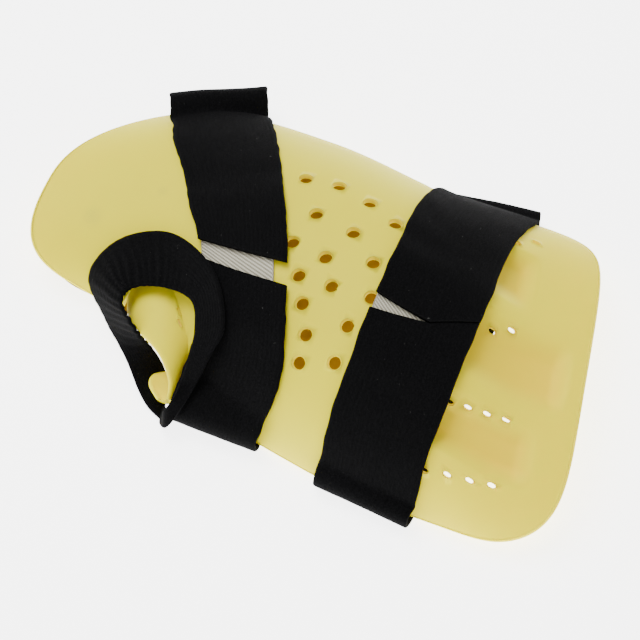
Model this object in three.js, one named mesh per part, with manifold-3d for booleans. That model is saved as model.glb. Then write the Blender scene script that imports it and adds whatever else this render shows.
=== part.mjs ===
// Hand splint board: a moulded hand-shaped shell with a thumb trough, worn with
// a wrist strap, a finger strap and a thumb strap. Millimetres, +Z up.
// X runs along the hand from wrist to fingertips, Y from the thumb side to the
// little finger's side, and the shell lies with its domed side up.
import * as THREE from 'three';
import Module from 'manifold-3d';
import { mergeVertices } from 'three/addons/utils/BufferGeometryUtils.js';

// Straps
const strapWidth = 50;
const strapThickness = 2.2;
const thumbStrapThickness = 2;
const hookPatchWidth = 40;
const hookPatchLength = 44;
const hookPatchThickness = 1.2;
// How far the folds turn in under the shell, at the little finger's side and the thumb's
const farFoldInset = 7;
const nearFoldInset = 3.5;
// Space between pieces that touch, and the deepest cut that is lifted out of the dome
const seatGap = 0.4;
const liftReach = 6;
// Shell
const boardLength = 285;
const boardWidth = 170;
const domeHeight = 58;
const boardWall = 2.6;
const archAngle = 80;
const fingerEndSlant = 24;
// Finger beds pressed into the dome
const bedDepth = 5;
// Holes
const palmHoleDiameter = 6.2;
const fingerHoleDiameter = 4;
const thumbHoleDiameter = 3.6;
// Thumb trough
const troughRadius = 23;
const troughLength = 50;
const troughWall = 2.6;
// Thumb strap, from the middle of its loop to its far edge
const thumbLoopReach = 50;

const degrees = Math.PI / 180;
const halfLength = boardLength / 2;
const reach = archAngle * degrees;
// The straps run under the shell's long edges, which rest on them.
const rimHeight = strapThickness + seatGap + boardWall * Math.cos(reach);

// Edges of the strip that the shell is cut from, as shares of boardWidth from the
// hand's axis, and the dome's height as a share of domeHeight. Along is a share of
// half the board's length.
const stations = [
  { along: -1.0, near: -0.27, far: 0.345, crown: 0.46 },
  { along: -0.6, near: -0.26, far: 0.515, crown: 0.66 },
  { along: -0.16, near: -0.435, far: 0.54, crown: 0.88 },
  { along: 0.22, near: -0.512, far: 0.515, crown: 1.0 },
  { along: 0.6, near: -0.54, far: 0.50, crown: 0.88 },
  { along: 0.8, near: -0.548, far: 0.51, crown: 0.66 },
  { along: 1.0, near: -0.50, far: 0.505, crown: 0.55 },
];

// Roundness of the four corners: 2 is a quarter of an ellipse, more is squarer.
const corners = { wristNear: 3.2, wristFar: 2.2, fingerNear: 4.2, fingerFar: 6.0 };

// Beds for the fingers between the rows of small holes. Across is the middle of a
// bed and half its half width, from and to are its ends along the hand.
const fingerBeds = [
  { across: 0.30, half: 0.17, from: 0.42, to: 0.79 },
  { across: -0.08, half: 0.17, from: 0.42, to: 0.96 },
  { across: -0.44, half: 0.14, from: 0.42, to: 0.89 },
];

// Air holes of the palm, in shares of the board's half length and half arch.
const palmHoles = [
  { along: -0.13, across: 0.28 },
  { along: -0.01, across: 0.32 },
  { along: 0.12, across: 0.30 },
  { along: 0.24, across: 0.25 },
  { along: -0.03, across: 0.12 },
  { along: 0.12, across: 0.11 },
  { along: -0.06, across: -0.05 },
  { along: 0.07, across: -0.05 },
  { along: 0.23, across: 0.02 },
  { along: 0.01, across: -0.17 },
  { along: 0.13, across: -0.15 },
  { along: 0.27, across: -0.12 },
  { along: 0.06, across: -0.27 },
  { along: 0.23, across: -0.27 },
  { along: 0.11, across: -0.38 },
  { along: 0.12, across: -0.50 },
  { along: 0.23, across: -0.43 },
];

// Rows of small holes on the ridges between the fingers: the first hole, the step
// to the next one and their number.
const fingerHoleRows = [
  { along: 0.68, across: 0.49, alongStep: 0.07, acrossStep: 0.08, count: 2 },
  { along: 0.67, across: 0.04, alongStep: 0.055, acrossStep: 0.02, count: 2 },
  { along: 0.61, across: -0.31, alongStep: 0.052, acrossStep: 0.018, count: 4 },
  { along: 0.57, across: -0.63, alongStep: 0.067, acrossStep: 0.018, count: 4 },
];

// Middle line of each strap over the dome, from the little finger's side to the
// thumb's, the gap between its two ends, and where its folds stand past the shell's
// edges. A slant moves both ends along at one side, a taper opens the gap there.
const wristStrap = {
  line: [
    { across: 0.66, along: -0.565 },
    { across: 0.42, along: -0.49 },
    { across: 0.13, along: -0.36 },
    { across: -0.17, along: -0.215 },
    { across: -0.38, along: -0.14 },
    { across: -0.60, along: -0.085 },
    { across: -0.80, along: -0.095 },
  ],
  gapAcross: -0.235,
  gap: 9,
  gapSlant: 12,
  gapTaper: 0,
  patchShift: -3.6,
  farFold: 0,
  farFoldHeight: 29,
  farLean: 29,
  nearFold: 6.9,
  nearFoldHeight: 12,
  nearLean: 1,
  nearPinch: 0.92,
};
const fingerStrap = {
  line: [
    { across: 0.90, along: 0.54 },
    { across: 0.70, along: 0.506 },
    { across: 0.42, along: 0.47 },
    { across: 0.13, along: 0.46 },
    { across: -0.17, along: 0.445 },
    { across: -0.38, along: 0.435 },
    { across: -0.60, along: 0.42 },
    { across: -0.90, along: 0.41 },
  ],
  gapAcross: -0.125,
  gap: 4.5,
  gapSlant: 1,
  gapTaper: 3.9,
  patchShift: -1,
  farFold: 1.2,
  farFoldHeight: 7,
  farLean: 2,
  nearFold: 0.8,
  nearFoldHeight: 8,
  nearLean: 5,
  nearPinch: 1,
};

// Sections of the thumb trough from its root to its tip. Along is a share of
// troughLength, right, height and size are shares of troughRadius: the section's
// middle and its radius. Upper and lower are the angles of its two lips in degrees,
// counted from the side of the index finger upwards.
const troughSections = [
  { along: -0.10, right: -0.06, height: 0.34, size: 1.00, upper: 172, lower: -10 },
  { along: 0.25, right: 0.03, height: 0.46, size: 0.85, upper: 158, lower: -24 },
  { along: 0.50, right: 0.18, height: 0.59, size: 0.67, upper: 128, lower: -38 },
  { along: 0.70, right: 0.30, height: 0.66, size: 0.46, upper: 78, lower: -108 },
  { along: 0.86, right: 0.43, height: 0.54, size: 0.34, upper: 40, lower: -145 },
  { along: 0.98, right: 0.55, height: 0.46, size: 0.18, upper: 20, lower: -150 },
];
// Small holes through the trough's upper side: share of its length and angle.
const thumbHoles = [
  { along: 0.20, turn: 66 },
  { along: 0.31, turn: 60 },
];
const troughRoot = { along: -0.417, near: -0.20, lean: 6 };

// Rows across the thumb strap, from its place on the wrist strap round the trough and
// back: the edge at the window and the outer edge, in shares of thumbLoopReach from the
// loop's middle.
const thumbLoopMiddle = { along: -0.417, near: -0.34 };
const thumbStrapRows = [
  { windowX: 0.49, windowY: 0.07, windowZ: 0.71, outerX: 0.74, outerY: 0.13, outerZ: 0.835 },
  { windowX: 0.34, windowY: 0.34, windowZ: 0.79, outerX: 0.44, outerY: 0.6, outerZ: 0.965 },
  { windowX: 0.0, windowY: 0.42, windowZ: 0.72, outerX: -0.16, outerY: 0.9, outerZ: 0.86 },
  { windowX: -0.32, windowY: 0.34, windowZ: 0.62, outerX: -0.65, outerY: 0.74, outerZ: 0.66 },
  { windowX: -0.36, windowY: 0.2, windowZ: 0.6, outerX: -0.82, outerY: 0.44, outerZ: 0.4 },
  { windowX: -0.14, windowY: 0.0, windowZ: 0.56, outerX: -0.56, outerY: 0.2, outerZ: 0.16 },
  { windowX: 0.0, windowY: 0.0, windowZ: 0.25, outerX: -0.18, outerY: -0.14, outerZ: 0.13 },
  { windowX: 0.17, windowY: -0.1, windowZ: 0.02, outerX: 0.03, outerY: -0.36, outerZ: 0.03 },
  { windowX: 0.28, windowY: -0.3, windowZ: 0.012, outerX: 0.2, outerY: -0.5, outerZ: 0.014 },
  { windowX: 0.355, windowY: -0.45, windowZ: 0.015, outerX: 0.37, outerY: -0.585, outerZ: 0.015 },
  { windowX: 0.415, windowY: -0.53, windowZ: 0.12, outerX: 0.43, outerY: -0.65, outerZ: 0.06 },
  { windowX: 0.455, windowY: -0.6, windowZ: 0.27, outerX: 0.5, outerY: -0.69, outerZ: 0.17 },
  { windowX: 0.49, windowY: -0.5, windowZ: 0.38, outerX: 0.56, outerY: -0.57, outerZ: 0.3 },
  { windowX: 0.5, windowY: -0.335, windowZ: 0.41, outerX: 0.62, outerY: -0.335, outerZ: 0.42 },
  { windowX: 0.51, windowY: -0.11, windowZ: 0.6, outerX: 0.69, outerY: -0.07, outerZ: 0.665 },
];

const mix = (from, to, share) => from + (to - from) * share;
const clamp = (value) => Math.min(1, Math.max(0, value));
const smooth = (value) => {
  const t = clamp(value);
  return t * t * (3 - 2 * t);
};

// Value of one column at any place along the board, on a smooth curve through the rows.
function stationValue(column, along) {
  const last = stations.length - 1;
  let row = 0;
  while (row < last - 1 && along > stations[row + 1].along) row += 1;
  const at = (index) => stations[Math.min(last, Math.max(0, index))];
  const [before, start, end, after] = [at(row - 1), at(row), at(row + 1), at(row + 2)];
  const span = end.along - start.along;
  const slopeStart = row === 0
    ? (end[column] - start[column]) / span
    : (end[column] - before[column]) / (end.along - before.along);
  const slopeEnd = row === last - 1
    ? (end[column] - start[column]) / span
    : (after[column] - start[column]) / (after.along - start.along);
  const t = (along - start.along) / span;
  const tt = t * t;
  const ttt = tt * t;
  return (2 * ttt - 3 * tt + 1) * start[column] + (ttt - 2 * tt + t) * span * slopeStart
    + (3 * tt - 2 * ttt) * end[column] + (ttt - tt) * span * slopeEnd;
}

// The dome without its finger beds. Along runs from -1 at the wrist to 1 at the
// fingertips, across from -1 at the thumb's edge to 1 at the little finger's.
function domePoint(along, across) {
  const near = stationValue('near', along) * boardWidth;
  const far = stationValue('far', along) * boardWidth;
  const crown = stationValue('crown', along) * domeHeight;
  const y = mix(near, far, 0.5) + 0.5 * (far - near) * Math.sin(across * reach) / Math.sin(reach);
  const rise = (Math.cos(across * reach) - Math.cos(reach)) / (1 - Math.cos(reach));
  const slant = -fingerEndSlant * across * smooth(along);
  return new THREE.Vector3(along * halfLength + slant, y, rimHeight + (crown - rimHeight) * rise);
}

function surfaceNormal(point, along, across) {
  const step = 0.002;
  const alongEdge = point(along + step, across).sub(point(along - step, across));
  const acrossEdge = point(along, across + step).sub(point(along, across - step));
  return alongEdge.cross(acrossEdge).normalize();
}

// How far the finger beds lie below the dome.
function bedDrop(along, across) {
  let drop = 0;
  for (const bed of fingerBeds) {
    const side = 1.4 * (1 - Math.abs(across - bed.across) / bed.half);
    const start = smooth((along - bed.from) / 0.2);
    const end = smooth((bed.to - along) / 0.08);
    drop += bedDepth * smooth(side) * start * end;
  }
  return drop;
}

function boardPoint(along, across) {
  const place = domePoint(along, across);
  const normal = surfaceNormal(domePoint, along, across);
  return place.addScaledVector(normal, -bedDrop(along, across));
}

// The shell's plan: a square grid drawn in to a rounded outline.
function trimmed(p, q) {
  let power = p < 0 ? corners.wristFar : corners.fingerFar;
  if (q < 0) power = p < 0 ? corners.wristNear : corners.fingerNear;
  const square = Math.max(Math.abs(p), Math.abs(q));
  const round = (Math.abs(p) ** power + Math.abs(q) ** power) ** (1 / power);
  const scale = round > 0 ? square / round : 0;
  return { along: p * scale, across: q * scale };
}

// A closed sheet between two grids of points. A loop joins its last row to its first.
function sheetGeometry(outside, inside, loop = false) {
  const rows = outside.length;
  const columns = outside[0].length;
  const positions = [];
  for (const grid of [outside, inside]) {
    for (const row of grid) {
      for (const point of row) positions.push(point.x, point.y, point.z);
    }
  }
  const out = (i, j) => (i % rows) * columns + j;
  const inn = (i, j) => rows * columns + out(i, j);
  const index = [];
  const quad = (a, b, c, d) => index.push(a, b, c, a, c, d);
  const spans = loop ? rows : rows - 1;
  for (let i = 0; i < spans; i += 1) {
    for (let j = 0; j < columns - 1; j += 1) {
      quad(out(i, j), out(i + 1, j), out(i + 1, j + 1), out(i, j + 1));
      quad(inn(i, j), inn(i, j + 1), inn(i + 1, j + 1), inn(i + 1, j));
    }
    const last = columns - 1;
    quad(out(i, 0), inn(i, 0), inn(i + 1, 0), out(i + 1, 0));
    quad(out(i, last), out(i + 1, last), inn(i + 1, last), inn(i, last));
  }
  if (!loop) {
    for (let j = 0; j < columns - 1; j += 1) {
      const last = rows - 1;
      quad(out(0, j), out(0, j + 1), inn(0, j + 1), inn(0, j));
      quad(out(last, j), inn(last, j), inn(last, j + 1), out(last, j + 1));
    }
  }
  const geometry = new THREE.BufferGeometry();
  geometry.setAttribute('position', new THREE.Float32BufferAttribute(positions, 3));
  geometry.setIndex(index);
  return facingOut(geometry);
}

// Turns the faces of a closed mesh outwards.
function facingOut(geometry) {
  const position = geometry.getAttribute('position');
  const index = geometry.getIndex().array;
  const [a, b, c] = [new THREE.Vector3(), new THREE.Vector3(), new THREE.Vector3()];
  let volume = 0;
  for (let i = 0; i < index.length; i += 3) {
    a.fromBufferAttribute(position, index[i]);
    b.fromBufferAttribute(position, index[i + 1]);
    c.fromBufferAttribute(position, index[i + 2]);
    volume += a.dot(b.cross(c));
  }
  if (volume < 0) {
    for (let i = 0; i < index.length; i += 3) {
      [index[i], index[i + 1]] = [index[i + 1], index[i]];
    }
  }
  return geometry;
}

// Grid of points from a function of row and column.
function pointGrid(rows, columns, place) {
  return Array.from({ length: rows }, (_, i) => (
    Array.from({ length: columns }, (__, j) => place(i, j))));
}

// Normals of a grid of points, from its neighbours.
function gridNormals(grid) {
  const rows = grid.length;
  const columns = grid[0].length;
  return pointGrid(rows, columns, (i, j) => {
    const along = grid[Math.min(i + 1, rows - 1)][j].clone().sub(grid[Math.max(i - 1, 0)][j]);
    const across = grid[i][Math.min(j + 1, columns - 1)].clone().sub(grid[i][Math.max(j - 1, 0)]);
    return along.cross(across).normalize();
  });
}

function raised(grid, normals, amount) {
  return pointGrid(grid.length, grid[0].length, (i, j) => (
    grid[i][j].clone().addScaledVector(normals[i][j], amount)));
}

const wasm = await Module();
wasm.setup();

function solidOf(geometry) {
  const bare = geometry.clone();
  bare.deleteAttribute('normal');
  bare.deleteAttribute('uv');
  const merged = mergeVertices(bare, 1e-4);
  return new wasm.Manifold(new wasm.Mesh({
    numProp: 3,
    vertProperties: new Float32Array(merged.getAttribute('position').array),
    triVerts: new Uint32Array(merged.getIndex().array),
  }));
}

function geometryOf(solid) {
  const mesh = solid.getMesh();
  const geometry = new THREE.BufferGeometry();
  geometry.setAttribute('position', new THREE.BufferAttribute(mesh.vertProperties, 3));
  geometry.setIndex(new THREE.BufferAttribute(mesh.triVerts, 1));
  geometry.computeVertexNormals();
  return geometry;
}

// Shell of the board: the trimmed dome as an even wall.
const shellRows = 39;
const shellColumns = 27;
const shellPlace = (i, j) => trimmed(2 * i / (shellRows - 1) - 1, 2 * j / (shellColumns - 1) - 1);

function shellGrid(offset) {
  return pointGrid(shellRows, shellColumns, (i, j) => {
    const { along, across } = shellPlace(i, j);
    const point = boardPoint(along, across);
    return point.addScaledVector(surfaceNormal(boardPoint, along, across), offset);
  });
}

// Everything under the shell's inner face, for keeping the hand's space clear.
function hollowGeometry() {
  const roof = shellGrid(-boardWall);
  const floor = pointGrid(shellRows, shellColumns, (i, j) => (
    new THREE.Vector3(roof[i][j].x, roof[i][j].y, -domeHeight)));
  return sheetGeometry(roof, floor);
}

// Value of one column of the trough's table at a share of its length.
function troughValue(column, along) {
  let row = 0;
  while (row < troughSections.length - 2 && along > troughSections[row + 1].along) row += 1;
  const [start, end] = [troughSections[row], troughSections[row + 1]];
  return mix(start[column], end[column], (along - start.along) / (end.along - start.along));
}

// A point on the trough: along it and round its section, at a distance in from its
// outer face.
function troughPoint(along, turn, inwards) {
  const radius = troughValue('size', along) * troughRadius - inwards;
  const right = troughValue('right', along) * troughRadius + radius * Math.cos(turn * degrees);
  const height = troughValue('height', along) * troughRadius + radius * Math.sin(turn * degrees);
  const lean = troughRoot.lean * degrees;
  const out = along * troughLength;
  return new THREE.Vector3(
    troughRoot.along * halfLength + right * Math.cos(lean) + out * Math.sin(lean),
    troughRoot.near * boardWidth + right * Math.sin(lean) - out * Math.cos(lean),
    height,
  );
}

const troughRows = 15;
const troughColumns = 15;
const troughAlong = (i) => mix(
  troughSections[0].along,
  troughSections[troughSections.length - 1].along,
  i / (troughRows - 1),
);

function troughWallGeometry() {
  const face = (inwards) => pointGrid(troughRows, troughColumns, (i, j) => {
    const along = troughAlong(i);
    const [upper, lower] = [troughValue('upper', along), troughValue('lower', along)];
    return troughPoint(along, mix(upper, lower, j / (troughColumns - 1)), inwards);
  });
  return sheetGeometry(face(0), face(troughWall));
}

// The space inside the trough, for opening the shell where the thumb goes through.
function troughSpaceGeometry() {
  const sides = 16;
  const geometry = new THREE.CylinderGeometry(1, 1, 1, sides, troughRows - 1);
  const position = geometry.getAttribute('position');
  const place = new THREE.Vector3();
  for (let i = 0; i < position.count; i += 1) {
    place.fromBufferAttribute(position, i);
    const radial = Math.hypot(place.x, place.z);
    const along = mix(troughAlong(0), troughAlong(troughRows - 1), place.y + 0.5);
    const turn = Math.atan2(place.z, place.x) / degrees;
    const radius = troughValue('size', along) * troughRadius;
    const point = troughPoint(along, turn, radius - radial * (radius - troughWall));
    position.setXYZ(i, point.x, point.y, point.z);
  }
  const merged = geometry.clone();
  merged.deleteAttribute('normal');
  merged.deleteAttribute('uv');
  return facingOut(mergeVertices(merged, 1e-4));
}

// A round cutter through the wall at a place on the surface.
function holeCutter(point, normal, diameter, sides) {
  const depth = 5 * boardWall;
  const geometry = new THREE.CylinderGeometry(diameter / 2, diameter / 2, depth, sides);
  const upright = new THREE.Vector3(0, 1, 0);
  geometry.applyQuaternion(new THREE.Quaternion().setFromUnitVectors(upright, normal));
  geometry.translate(point.x, point.y, point.z);
  return solidOf(geometry);
}

const palmHoleSides = 10;
const smallHoleSides = 8;

function boardGeometry() {
  const shell = solidOf(sheetGeometry(shellGrid(0), shellGrid(-boardWall)));
  const trough = solidOf(troughWallGeometry()).subtract(solidOf(hollowGeometry()));
  let board = shell.subtract(solidOf(troughSpaceGeometry())).add(trough);
  const cut = (along, across, diameter, sides) => {
    const point = boardPoint(along, across);
    const normal = surfaceNormal(boardPoint, along, across);
    board = board.subtract(holeCutter(point, normal, diameter, sides));
  };
  for (const hole of palmHoles) cut(hole.along, hole.across, palmHoleDiameter, palmHoleSides);
  for (const row of fingerHoleRows) {
    for (let i = 0; i < row.count; i += 1) {
      const [along, across] = [row.along + i * row.alongStep, row.across + i * row.acrossStep];
      cut(along, across, fingerHoleDiameter, smallHoleSides);
    }
  }
  for (const hole of thumbHoles) {
    const point = troughPoint(hole.along, hole.turn, 0);
    const normal = point.clone().sub(troughPoint(hole.along, hole.turn, troughWall)).normalize();
    board = board.subtract(holeCutter(point, normal, thumbHoleDiameter, smallHoleSides));
  }
  return geometryOf(board);
}

// Surface under the straps: the dome without its beds, over which they stretch.
function domeSeat(along, across, offset) {
  const point = domePoint(along, across);
  return point.addScaledVector(surfaceNormal(domePoint, along, across), offset);
}

// Place on the dome at a distance sideways from a strap's middle line, where the
// line runs in a given direction.
function besideLine(from, direction, distance) {
  const step = 0.01;
  const size = (a, b) => domePoint(from.along + a, from.across + b)
    .distanceTo(domePoint(from.along - a, from.across - b)) / (2 * step);
  const perAlong = size(step, 0);
  const perAcross = size(0, step);
  const run = new THREE.Vector2(direction.along * perAlong, direction.across * perAcross);
  run.normalize();
  return {
    along: from.along + distance * -run.y / perAlong,
    across: from.across + distance * run.x / perAcross,
  };
}

// A strap's middle line at any place across the hand.
function lineAlong(line, across) {
  let row = 0;
  while (row < line.length - 2 && across < line[row + 1].across) row += 1;
  const [start, end] = [line[row], line[row + 1]];
  return mix(start.along, end.along, (across - start.across) / (end.across - start.across));
}

const patchRise = seatGap + hookPatchThickness + seatGap;

// Height of a strap's underside over the dome: raised where it lies on its hook patch.
function strapRise(strap, across) {
  const patchReach = patchShare(strap) / 2;
  const past = Math.abs(across - strap.gapAcross) - patchReach - 0.04;
  return mix(patchRise, seatGap, smooth(past / 0.12));
}

// The hook patch's length as a share of the arch.
function patchShare(strap) {
  const along = lineAlong(strap.line, strap.gapAcross);
  const step = 0.05;
  const span = domePoint(along, strap.gapAcross + step)
    .distanceTo(domePoint(along, strap.gapAcross - step));
  return hookPatchLength * 2 * step / span;
}

// Points of a strap's underside over the dome, from one place across to another.
function lineOverDome(strap, start, end, steps, side, rise) {
  const points = [];
  const half = 0.5 * (strap.line[0].across - strap.line[strap.line.length - 1].across) / 12;
  for (let i = 0; i <= steps; i += 1) {
    const across = mix(start, end, i / steps);
    const direction = {
      along: lineAlong(strap.line, across - half) - lineAlong(strap.line, across + half),
      across: -2 * half,
    };
    const middle = { along: lineAlong(strap.line, across), across };
    const place = besideLine(middle, direction, side);
    points.push(domeSeat(place.along, place.across, rise(across)));
  }
  return points;
}

const upperSteps = 13;
const lowerSteps = 10;

// One thread of a strap at a distance from its middle: from its end on the far side
// of the gap, round the far fold, under the shell, round the near fold and back to
// its other end.
function strapThread(strap, side) {
  const rise = (across) => strapRise(strap, across);
  const along = lineAlong(strap.line, strap.gapAcross);
  const step = 0.05;
  const perShare = domePoint(along, strap.gapAcross + step)
    .distanceTo(domePoint(along, strap.gapAcross - step)) / (2 * step);
  const halfGap = 0.5 * strap.gap / perShare;
  const sideShare = side / strapWidth;
  const slant = strap.gapSlant * sideShare / perShare;
  const taper = strap.gapTaper * sideShare / perShare;
  const [first, last] = [strap.line[0].across, strap.line[strap.line.length - 1].across];
  const farEnd = strap.gapAcross + halfGap - slant - taper;
  const nearEnd = strap.gapAcross - halfGap - slant + taper;
  const upper = (distance) => lineOverDome(strap, farEnd, first, upperSteps, distance, rise);
  const lower = (distance) => lineOverDome(strap, last, nearEnd, lowerSteps, distance, rise);
  const far = foldPlace(upper(0)[upperSteps], 'far', strap.farFold, strap.farLean, side);
  const near = foldPlace(lower(0)[0], 'near', strap.nearFold, strap.nearLean, side * strap.nearPinch);
  const at = (fold, back, height) => new THREE.Vector3(
    fold.x - back * fold.outX,
    fold.y - back * fold.outY,
    height,
  );
  const run = upper(side);
  const lift = run[run.length - 1];
  const { farFoldHeight: knee, nearFoldHeight: heel } = strap;
  const farKnee = at(far, 0, knee);
  const farUnder = at(far, farFoldInset, strapThickness);
  const nearUnder = at(near, nearFoldInset, strapThickness);
  return [
    ...run,
    lift.clone().lerp(farKnee, 0.55).setZ(mix(lift.z, knee, 0.35) + strapThickness),
    at(far, 2, knee * 0.7),
    at(far, 0, knee * 0.4),
    farUnder,
    farUnder.clone().lerp(nearUnder, 0.25),
    farUnder.clone().lerp(nearUnder, 0.5),
    farUnder.clone().lerp(nearUnder, 0.75),
    nearUnder,
    at(near, 0, heel * 0.5),
    at(near, 1, heel),
    ...lower(side),
  ];
}

// Where a thread turns at a fold, and the way out there. The strap leaves the dome at
// a place, leaning towards the wrist, and turns past the shell's edge.
function foldPlace(leave, edge, clearance, lean, side) {
  const sign = edge === 'far' ? 1 : -1;
  const outX = -Math.sin(lean * degrees);
  const outY = sign * Math.cos(lean * degrees);
  const rim = sign * stationValue(edge, leave.x / halfLength) * boardWidth;
  const edgeY = sign * (rim + clearance + strapThickness);
  const distance = (edgeY - leave.y) / outY;
  return {
    x: leave.x + distance * outX + side * Math.abs(outY),
    y: edgeY - sign * side * outX,
    outX,
    outY,
  };
}

const strapRows = 58;
const strapColumns = 5;

// Lifts a strap's point off the dome where its curve would cut into it.
function liftedClear(point) {
  const along = (point.x + boardPartSlant(point)) / halfLength;
  const near = stationValue('near', along) * boardWidth;
  const far = stationValue('far', along) * boardWidth;
  const share = 2 * (point.y - mix(near, far, 0.5)) / (far - near);
  const overRim = point.z > 2 * rimHeight;
  if (overRim && Math.abs(share) < 0.995) {
    const across = Math.asin(share * Math.sin(reach)) / reach;
    const normal = surfaceNormal(domePoint, along, across);
    const floor = domePoint(along, across).z + seatGap / normal.z;
    if (floor - point.z < liftReach) point.setZ(Math.max(point.z, floor));
  }
  return point;
}

// How far the fingertips' slant moves the dome along, at a place.
function boardPartSlant(point) {
  const along = point.x / halfLength;
  const width = stationValue('far', along) - stationValue('near', along);
  return fingerEndSlant * smooth(along) * point.y / (0.5 * width * boardWidth);
}

function strapGeometry(strap) {
  const threads = Array.from({ length: strapColumns }, (_, j) => {
    const side = strapWidth * (j / (strapColumns - 1) - 0.5);
    const curve = new THREE.CatmullRomCurve3(strapThread(strap, side), false, 'centripetal');
    curve.arcLengthDivisions = 600;
    return curve.getSpacedPoints(strapRows - 1);
  });
  const inside = pointGrid(strapRows, strapColumns, (i, j) => liftedClear(threads[j][i]));
  const outside = raised(inside, gridNormals(inside), -strapThickness);
  for (const row of outside) {
    for (const point of row) point.z = Math.max(0, point.z);
  }
  return sheetGeometry(outside, inside);
}

// A hook patch seated on the dome under the two ends of its strap.
function patchGeometry(strap) {
  const halfShare = patchShare(strap) / 2;
  const columns = 5;
  const steps = 6;
  const face = (offset) => Array.from({ length: columns }, (_, j) => lineOverDome(
    strap,
    strap.gapAcross + halfShare,
    strap.gapAcross - halfShare,
    steps,
    strap.patchShift + hookPatchWidth * (j / (columns - 1) - 0.5),
    () => offset,
  ));
  return sheetGeometry(face(seatGap + hookPatchThickness), face(seatGap));
}

// The thumb strap: a closed band swept through its rows.
const thumbStrapSteps = 44;
const thumbStrapColumns = 4;

function thumbPoint(row, edge) {
  return new THREE.Vector3(
    thumbLoopMiddle.along * halfLength + row[edge + 'X'] * thumbLoopReach,
    thumbLoopMiddle.near * boardWidth + row[edge + 'Y'] * thumbLoopReach,
    row[edge + 'Z'] * thumbLoopReach,
  );
}

const thumbEdge = (name) => new THREE.CatmullRomCurve3(
  thumbStrapRows.map((row) => thumbPoint(row, name)),
  true,
  'centripetal',
);

// Points of the band at shares round the loop, from the window to the outer edge.
function thumbBandGrid(shares, places) {
  const [window, outer] = [thumbEdge('window'), thumbEdge('outer')];
  return shares.map((share) => (
    places.map((place) => window.getPoint(share).lerp(outer.getPoint(share), place))));
}

function thumbStrapGeometry() {
  const share = (i) => i / thumbStrapSteps;
  const shares = Array.from({ length: thumbStrapSteps + 2 }, (_, i) => share(i - 1));
  const places = Array.from({ length: thumbStrapColumns }, (_, j) => j / (thumbStrapColumns - 1));
  const wrapped = thumbBandGrid(shares, places);
  const ring = (grid) => grid.slice(1, thumbStrapSteps + 1);
  const outside = raised(wrapped, gridNormals(wrapped), -thumbStrapThickness);
  return sheetGeometry(ring(outside), ring(wrapped), true);
}

// Hook patch between the thumb strap and the wrist strap: it follows the thumb
// strap's underside and shows a little in the window.
function thumbHookGeometry() {
  const shares = Array.from({ length: 7 }, (_, i) => mix(-0.05, 0.024, i / 6));
  const strip = thumbBandGrid(shares, [-0.06, 0.22, 0.5]);
  const normals = gridNormals(strip);
  const face = (offset) => raised(strip, normals, offset);
  return sheetGeometry(face(seatGap + hookPatchThickness), face(seatGap));
}

function material(colour, roughness) {
  return new THREE.MeshStandardMaterial({ color: colour, roughness, metalness: 0 });
}

const shellPlastic = material('#e8dc6a', 0.42);
const blackLoop = material('#171717', 0.95);
const creamHook = material('#d9d4c4', 0.8);

function piece(name, geometry, look) {
  const mesh = new THREE.Mesh(geometry, look);
  mesh.name = name;
  return mesh;
}

const splint = new THREE.Group();
splint.add(
  piece('splint_board', boardGeometry(), shellPlastic),
  piece('wrist_strap', strapGeometry(wristStrap), blackLoop),
  piece('finger_strap', strapGeometry(fingerStrap), blackLoop),
  piece('thumb_strap', thumbStrapGeometry(), blackLoop),
  piece('wrist_hook_patch', patchGeometry(wristStrap), creamHook),
  piece('finger_hook_patch', patchGeometry(fingerStrap), creamHook),
  piece('thumb_hook_patch', thumbHookGeometry(), creamHook),
);

// The origin is under the middle of the whole splint, on the surface it lies on.
const box = new THREE.Box3().setFromObject(splint);
const middle = box.getCenter(new THREE.Vector3());
splint.position.set(-middle.x, -middle.y, -box.min.z);
splint.updateMatrixWorld(true);

export default splint;
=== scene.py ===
import math

import bpy
import numpy as np
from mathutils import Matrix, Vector


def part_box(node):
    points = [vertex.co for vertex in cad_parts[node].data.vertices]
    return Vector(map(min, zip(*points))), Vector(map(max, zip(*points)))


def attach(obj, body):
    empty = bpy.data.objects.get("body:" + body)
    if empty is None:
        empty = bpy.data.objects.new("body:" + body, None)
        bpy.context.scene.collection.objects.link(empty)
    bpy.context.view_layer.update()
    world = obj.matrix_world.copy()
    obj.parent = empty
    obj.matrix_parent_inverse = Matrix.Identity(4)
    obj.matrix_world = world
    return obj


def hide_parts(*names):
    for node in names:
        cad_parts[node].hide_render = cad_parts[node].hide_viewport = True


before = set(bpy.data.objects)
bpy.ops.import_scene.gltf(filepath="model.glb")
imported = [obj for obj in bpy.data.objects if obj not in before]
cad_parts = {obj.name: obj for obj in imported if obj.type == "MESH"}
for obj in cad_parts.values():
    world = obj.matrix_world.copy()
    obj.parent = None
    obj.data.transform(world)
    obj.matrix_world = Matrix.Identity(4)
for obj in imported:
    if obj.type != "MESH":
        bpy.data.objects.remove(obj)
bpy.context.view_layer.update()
print("stage: frame loaded")

# Lengths are in millimetres until a mesh is filled. The hand's own axes: X from the wrist to
# the fingertips, Y from the thumb's side to the little finger's side, Z up out of the dome.
metres = 0.001
degrees = math.pi / 180


def smooth(value):
    t = np.clip(value, 0.0, 1.0)
    return t * t * (3 - 2 * t)


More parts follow.
